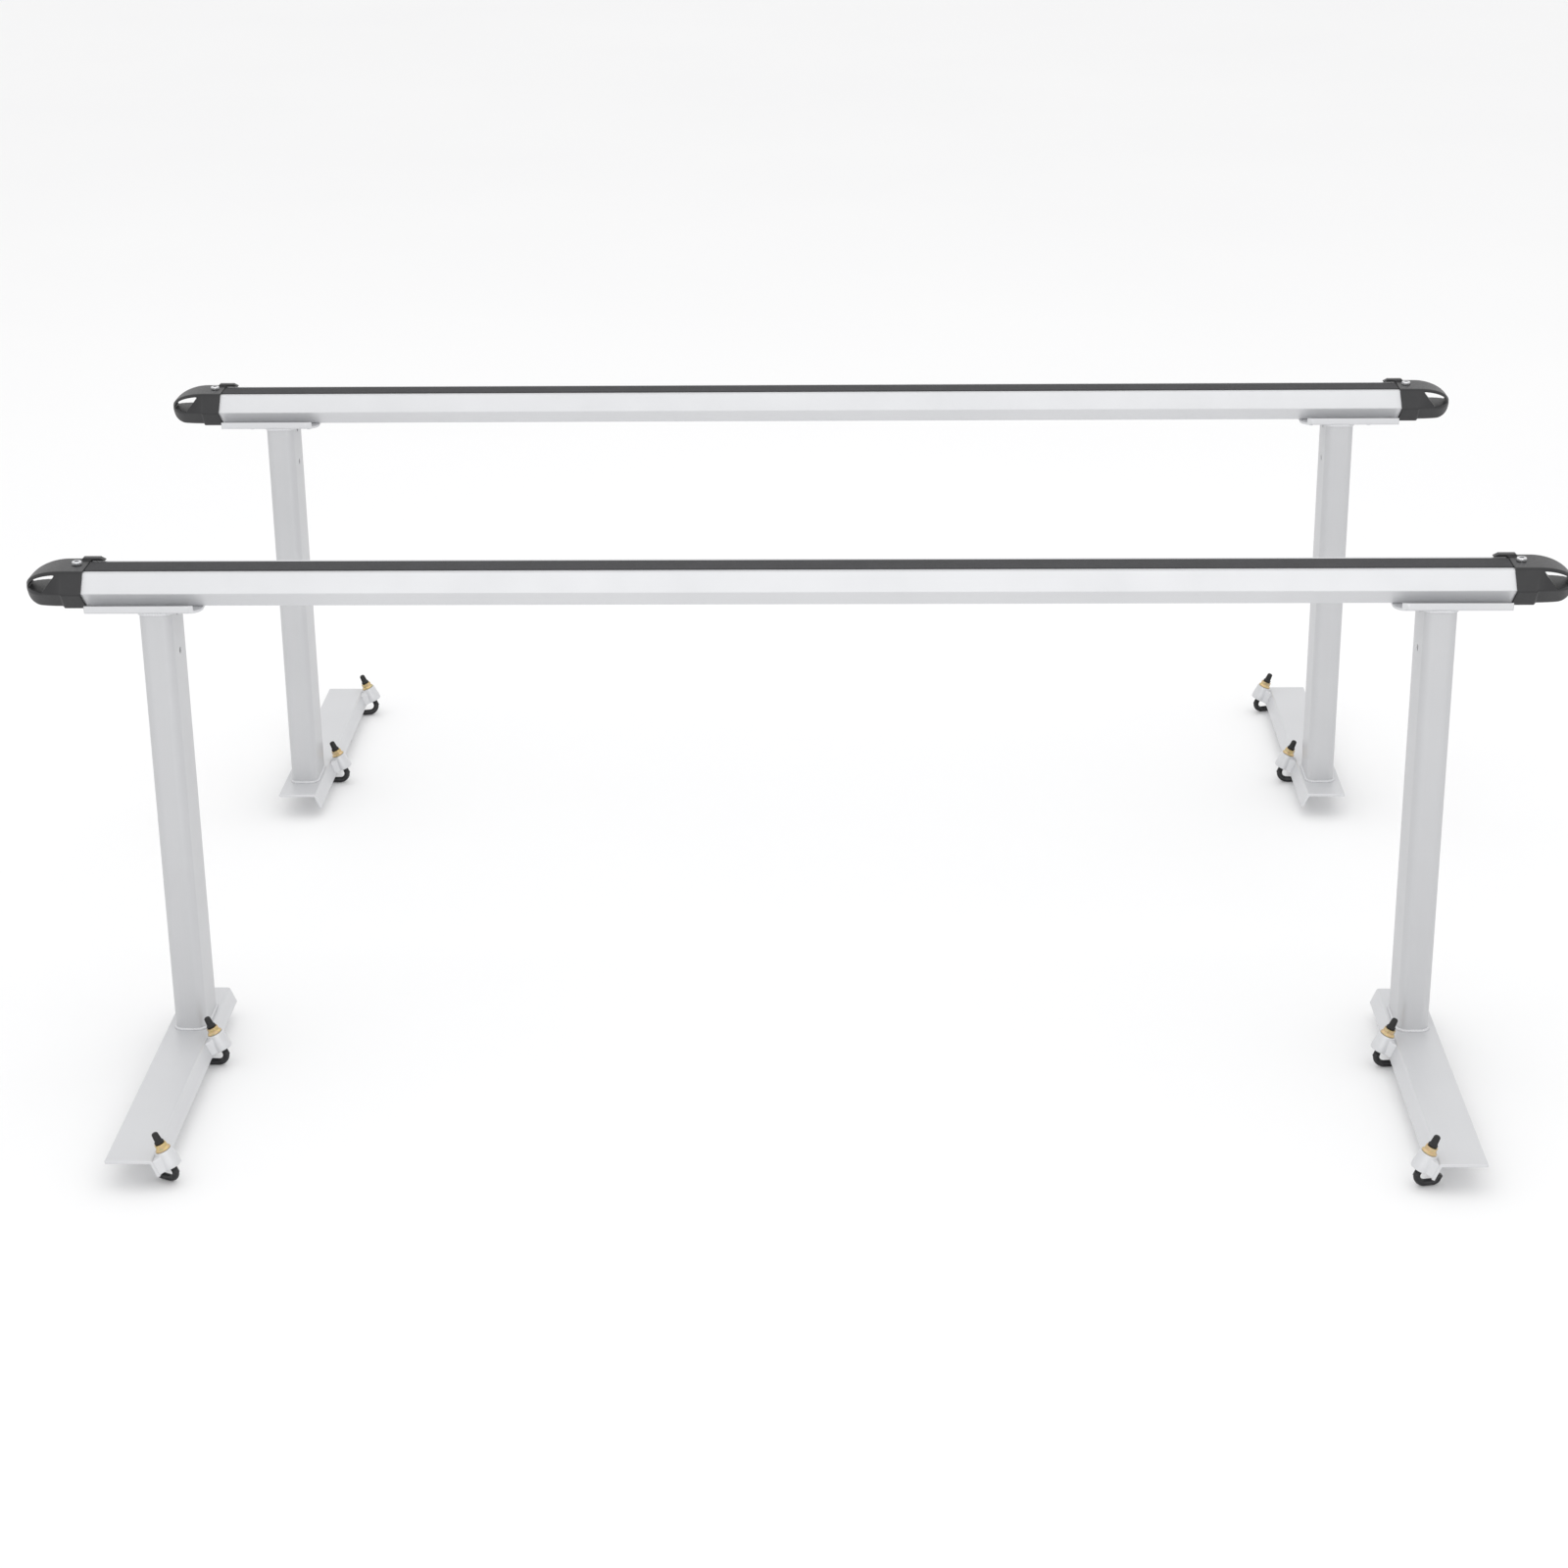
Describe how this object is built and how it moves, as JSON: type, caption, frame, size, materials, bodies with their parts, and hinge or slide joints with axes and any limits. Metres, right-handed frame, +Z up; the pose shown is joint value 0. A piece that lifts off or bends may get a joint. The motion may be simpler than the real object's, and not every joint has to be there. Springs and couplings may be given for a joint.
{
  "type": "truck bed ladder rack",
  "caption": "Truck bed ladder rack: aluminium crossbars with rubber strips and looped end caps, on sliding uprights with angle bases and J-hook clamps.",
  "frame": {"origin": "midway between the two frames, level with the lowest point of the clamp hooks", "axes": "+X along the crossbars, to the right; +Y from the front frame to the rear one; +Z up"},
  "size_m": [1.8, 1.58, 0.6246],
  "materials": {
    "satin_aluminium": "satin silver, fine brushed extrusion",
    "grey_rubber": "ribbed grey rubber",
    "black_rubber": "soft black rubber",
    "black_plastic": "fine grained black plastic",
    "bright_steel": "bright zinc plate",
    "yellow_zinc": "yellow zinc plate",
    "black_steel": "black coated steel rod"
  },
  "bodies": {
    "front_crossbar": {"crossbar_front": "satin_aluminium", "rubber_strip_front": "grey_rubber", "end_cap_front_left": "black_plastic", "end_cap_front_right": "black_plastic", "cap_screw_front_left": "bright_steel", "cap_screw_front_right": "bright_steel"},
    "rear_crossbar": {"crossbar_rear": "satin_aluminium", "rubber_strip_rear": "grey_rubber", "end_cap_rear_left": "black_plastic", "end_cap_rear_right": "black_plastic", "cap_screw_rear_left": "bright_steel", "cap_screw_rear_right": "bright_steel"},
    "upright_front_left": {"bracket_front_left": "satin_aluminium", "slot_bolts_front_left": "bright_steel", "post_front_left": "satin_aluminium", "base_angle_front_left": "satin_aluminium", "lug_front_left_post": "satin_aluminium", "lug_front_left_end": "satin_aluminium"},
    "nut_front_left_post": {"flange_nut_front_left_post": "yellow_zinc"},
    "cover_front_left_post": {"thread_cover_front_left_post": "black_rubber"},
    "hook_front_left_post": {"j_bolt_front_left_post": "black_steel"},
    "nut_front_left_end": {"flange_nut_front_left_end": "yellow_zinc"},
    "cover_front_left_end": {"thread_cover_front_left_end": "black_rubber"},
    "hook_front_left_end": {"j_bolt_front_left_end": "black_steel"},
    "upright_front_right": {"bracket_front_right": "satin_aluminium", "slot_bolts_front_right": "bright_steel", "post_front_right": "satin_aluminium", "base_angle_front_right": "satin_aluminium", "lug_front_right_post": "satin_aluminium", "lug_front_right_end": "satin_aluminium"},
    "nut_front_right_post": {"flange_nut_front_right_post": "yellow_zinc"},
    "cover_front_right_post": {"thread_cover_front_right_post": "black_rubber"},
    "hook_front_right_post": {"j_bolt_front_right_post": "black_steel"},
    "nut_front_right_end": {"flange_nut_front_right_end": "yellow_zinc"},
    "cover_front_right_end": {"thread_cover_front_right_end": "black_rubber"},
    "hook_front_right_end": {"j_bolt_front_right_end": "black_steel"},
    "upright_rear_left": {"bracket_rear_left": "satin_aluminium", "slot_bolts_rear_left": "bright_steel", "post_rear_left": "satin_aluminium", "base_angle_rear_left": "satin_aluminium", "lug_rear_left_post": "satin_aluminium", "lug_rear_left_end": "satin_aluminium"},
    "nut_rear_left_post": {"flange_nut_rear_left_post": "yellow_zinc"},
    "cover_rear_left_post": {"thread_cover_rear_left_post": "black_rubber"},
    "hook_rear_left_post": {"j_bolt_rear_left_post": "black_steel"},
    "nut_rear_left_end": {"flange_nut_rear_left_end": "yellow_zinc"},
    "cover_rear_left_end": {"thread_cover_rear_left_end": "black_rubber"},
    "hook_rear_left_end": {"j_bolt_rear_left_end": "black_steel"},
    "upright_rear_right": {"bracket_rear_right": "satin_aluminium", "slot_bolts_rear_right": "bright_steel", "post_rear_right": "satin_aluminium", "base_angle_rear_right": "satin_aluminium", "lug_rear_right_post": "satin_aluminium", "lug_rear_right_end": "satin_aluminium"},
    "nut_rear_right_post": {"flange_nut_rear_right_post": "yellow_zinc"},
    "cover_rear_right_post": {"thread_cover_rear_right_post": "black_rubber"},
    "hook_rear_right_post": {"j_bolt_rear_right_post": "black_steel"},
    "nut_rear_right_end": {"flange_nut_rear_right_end": "yellow_zinc"},
    "cover_rear_right_end": {"thread_cover_rear_right_end": "black_rubber"},
    "hook_rear_right_end": {"j_bolt_rear_right_end": "black_steel"}
  },
  "joints": [
    {"name": "frame_spacing", "type": "slide", "parent": "front_crossbar", "child": "rear_crossbar", "axis": [0, 1, 0], "range_m": [-0.3, 0.7]},
    {"name": "width_front_left", "type": "slide", "parent": "front_crossbar", "child": "upright_front_left", "axis": [1, 0, 0], "range_m": [0, 0.2]},
    {"name": "nut_turn_front_left_post", "type": "hinge", "parent": "upright_front_left", "child": "nut_front_left_post", "pos_m": [-0.70895, -0.475, 0.04119], "axis": [-0.3907, 0, 0.9205], "range_deg": [-1441, 0]},
    {"name": "hook_rise_front_left_post", "type": "slide", "parent": "upright_front_left", "child": "cover_front_left_post", "axis": [-0.3907, 0, 0.9205], "range_m": [0, 0.005]},
    {"name": "hook_swivel_front_left_post", "type": "hinge", "parent": "cover_front_left_post", "child": "hook_front_left_post", "pos_m": [-0.70895, -0.475, 0.04119], "axis": [-0.3907, 0, 0.9205], "range_deg": [-31, 39]},
    {"name": "nut_turn_front_left_end", "type": "hinge", "parent": "upright_front_left", "child": "nut_front_left_end", "pos_m": [-0.70895, -0.7745, 0.04119], "axis": [-0.3907, 0, 0.9205], "range_deg": [-1441, 0]},
    {"name": "hook_rise_front_left_end", "type": "slide", "parent": "upright_front_left", "child": "cover_front_left_end", "axis": [-0.3907, 0, 0.9205], "range_m": [0, 0.005]},
    {"name": "hook_swivel_front_left_end", "type": "hinge", "parent": "cover_front_left_end", "child": "hook_front_left_end", "pos_m": [-0.70895, -0.7745, 0.04119], "axis": [-0.3907, 0, 0.9205], "range_deg": [-9, 61]},
    {"name": "width_front_right", "type": "slide", "parent": "front_crossbar", "child": "upright_front_right", "axis": [-1, 0, 0], "range_m": [0, 0.2]},
    {"name": "nut_turn_front_right_post", "type": "hinge", "parent": "upright_front_right", "child": "nut_front_right_post", "pos_m": [0.70895, -0.475, 0.04119], "axis": [0.3907, 0, 0.9205], "range_deg": [-1441, 0]},
    {"name": "hook_rise_front_right_post", "type": "slide", "parent": "upright_front_right", "child": "cover_front_right_post", "axis": [0.3907, 0, 0.9205], "range_m": [0, 0.005]},
    {"name": "hook_swivel_front_right_post", "type": "hinge", "parent": "cover_front_right_post", "child": "hook_front_right_post", "pos_m": [0.70895, -0.475, 0.04119], "axis": [0.3907, 0, 0.9205], "range_deg": [-40, 30]},
    {"name": "nut_turn_front_right_end", "type": "hinge", "parent": "upright_front_right", "child": "nut_front_right_end", "pos_m": [0.70895, -0.7745, 0.04119], "axis": [0.3907, 0, 0.9205], "range_deg": [-1441, 0]},
    {"name": "hook_rise_front_right_end", "type": "slide", "parent": "upright_front_right", "child": "cover_front_right_end", "axis": [0.3907, 0, 0.9205], "range_m": [0, 0.005]},
    {"name": "hook_swivel_front_right_end", "type": "hinge", "parent": "cover_front_right_end", "child": "hook_front_right_end", "pos_m": [0.70895, -0.7745, 0.04119], "axis": [0.3907, 0, 0.9205], "range_deg": [-47, 23]},
    {"name": "width_rear_left", "type": "slide", "parent": "rear_crossbar", "child": "upright_rear_left", "axis": [1, 0, 0], "range_m": [0, 0.2]},
    {"name": "nut_turn_rear_left_post", "type": "hinge", "parent": "upright_rear_left", "child": "nut_rear_left_post", "pos_m": [-0.70895, 0.475, 0.04119], "axis": [-0.3907, 0, 0.9205], "range_deg": [-1441, 0]},
    {"name": "hook_rise_rear_left_post", "type": "slide", "parent": "upright_rear_left", "child": "cover_rear_left_post", "axis": [-0.3907, 0, 0.9205], "range_m": [0, 0.005]},
    {"name": "hook_swivel_rear_left_post", "type": "hinge", "parent": "cover_rear_left_post", "child": "hook_rear_left_post", "pos_m": [-0.70895, 0.475, 0.04119], "axis": [-0.3907, 0, 0.9205], "range_deg": [-38, 32]},
    {"name": "nut_turn_rear_left_end", "type": "hinge", "parent": "upright_rear_left", "child": "nut_rear_left_end", "pos_m": [-0.70895, 0.7745, 0.04119], "axis": [-0.3907, 0, 0.9205], "range_deg": [-1441, 0]},
    {"name": "hook_rise_rear_left_end", "type": "slide", "parent": "upright_rear_left", "child": "cover_rear_left_end", "axis": [-0.3907, 0, 0.9205], "range_m": [0, 0.005]},
    {"name": "hook_swivel_rear_left_end", "type": "hinge", "parent": "cover_rear_left_end", "child": "hook_rear_left_end", "pos_m": [-0.70895, 0.7745, 0.04119], "axis": [-0.3907, 0, 0.9205], "range_deg": [-55, 15]},
    {"name": "width_rear_right", "type": "slide", "parent": "rear_crossbar", "child": "upright_rear_right", "axis": [-1, 0, 0], "range_m": [0, 0.2]},
    {"name": "nut_turn_rear_right_post", "type": "hinge", "parent": "upright_rear_right", "child": "nut_rear_right_post", "pos_m": [0.70895, 0.475, 0.04119], "axis": [0.3907, 0, 0.9205], "range_deg": [-1441, 0]},
    {"name": "hook_rise_rear_right_post", "type": "slide", "parent": "upright_rear_right", "child": "cover_rear_right_post", "axis": [0.3907, 0, 0.9205], "range_m": [0, 0.005]},
    {"name": "hook_swivel_rear_right_post", "type": "hinge", "parent": "cover_rear_right_post", "child": "hook_rear_right_post", "pos_m": [0.70895, 0.475, 0.04119], "axis": [0.3907, 0, 0.9205], "range_deg": [-29, 41]},
    {"name": "nut_turn_rear_right_end", "type": "hinge", "parent": "upright_rear_right", "child": "nut_rear_right_end", "pos_m": [0.70895, 0.7745, 0.04119], "axis": [0.3907, 0, 0.9205], "range_deg": [-1441, 0]},
    {"name": "hook_rise_rear_right_end", "type": "slide", "parent": "upright_rear_right", "child": "cover_rear_right_end", "axis": [0.3907, 0, 0.9205], "range_m": [0, 0.005]},
    {"name": "hook_swivel_rear_right_end", "type": "hinge", "parent": "cover_rear_right_end", "child": "hook_rear_right_end", "pos_m": [0.70895, 0.7745, 0.04119], "axis": [0.3907, 0, 0.9205], "range_deg": [-53, 17]}
  ],
  "couplings": [
    {"joint": "nut_turn_front_left_post", "follows": "hook_rise_front_left_post", "rad_per_m": -5026.5},
    {"joint": "nut_turn_front_left_end", "follows": "hook_rise_front_left_end", "rad_per_m": -5026.5},
    {"joint": "nut_turn_front_right_post", "follows": "hook_rise_front_right_post", "rad_per_m": -5026.5},
    {"joint": "nut_turn_front_right_end", "follows": "hook_rise_front_right_end", "rad_per_m": -5026.5},
    {"joint": "nut_turn_rear_left_post", "follows": "hook_rise_rear_left_post", "rad_per_m": -5026.5},
    {"joint": "nut_turn_rear_left_end", "follows": "hook_rise_rear_left_end", "rad_per_m": -5026.5},
    {"joint": "nut_turn_rear_right_post", "follows": "hook_rise_rear_right_post", "rad_per_m": -5026.5},
    {"joint": "nut_turn_rear_right_end", "follows": "hook_rise_rear_right_end", "rad_per_m": -5026.5}
  ]
}
